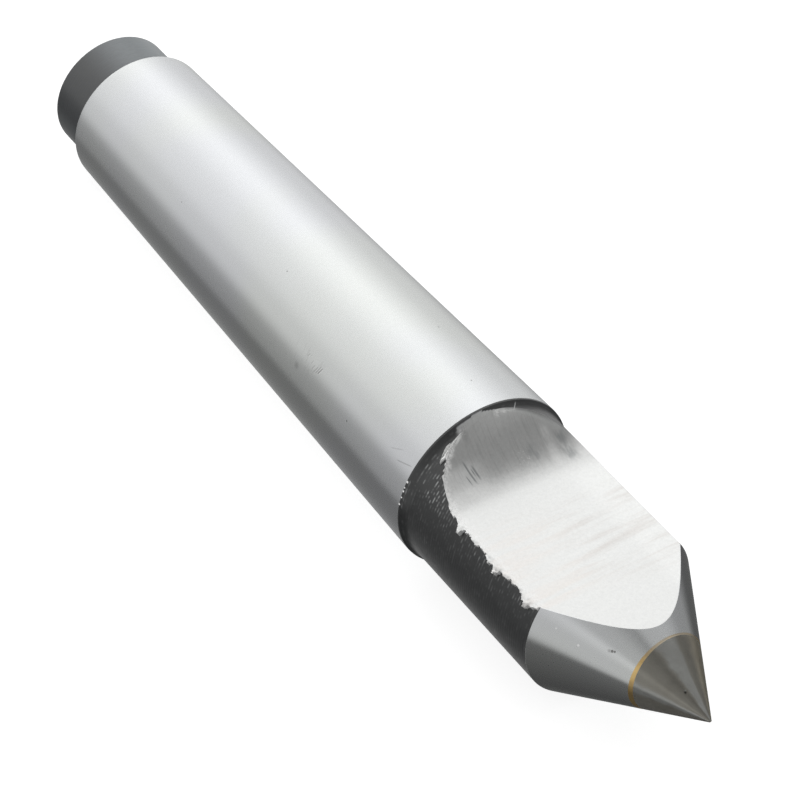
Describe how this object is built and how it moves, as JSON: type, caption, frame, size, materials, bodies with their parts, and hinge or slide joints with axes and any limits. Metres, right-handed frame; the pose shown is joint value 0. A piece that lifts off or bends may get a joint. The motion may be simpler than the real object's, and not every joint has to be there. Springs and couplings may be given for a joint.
{
  "type": "half dead center",
  "caption": "Lathe dead center with a ground Morse taper shank, a black turned neck, a relief flat milled across its sixty-degree point, and a brazed carbide tip.",
  "frame": {"origin": "on the axis of the center at the Morse taper's gauge plane, where the taper's diameter is 17.780 mm, 5 mm behind its large end", "axes": "+X along the axis toward the point; +Z is the way the milled relief flat faces; +Y completes the right-handed frame, across the flat"},
  "size_m": [0.1029, 0.018, 0.018],
  "materials": {
    "tool_steel": "hardened tool steel: satin cylindrically ground taper and point, milled relief flat, black oxide on the turned neck, shoulder and tail",
    "carbide": "fine-ground cemented carbide, darker and browner than the steel",
    "braze": "brass braze filler ground flush with the cone"
  },
  "bodies": {
    "root": {"shank_body": "tool_steel", "carbide_tip": "carbide", "braze_joint": "braze"}
  },
  "joints": []
}
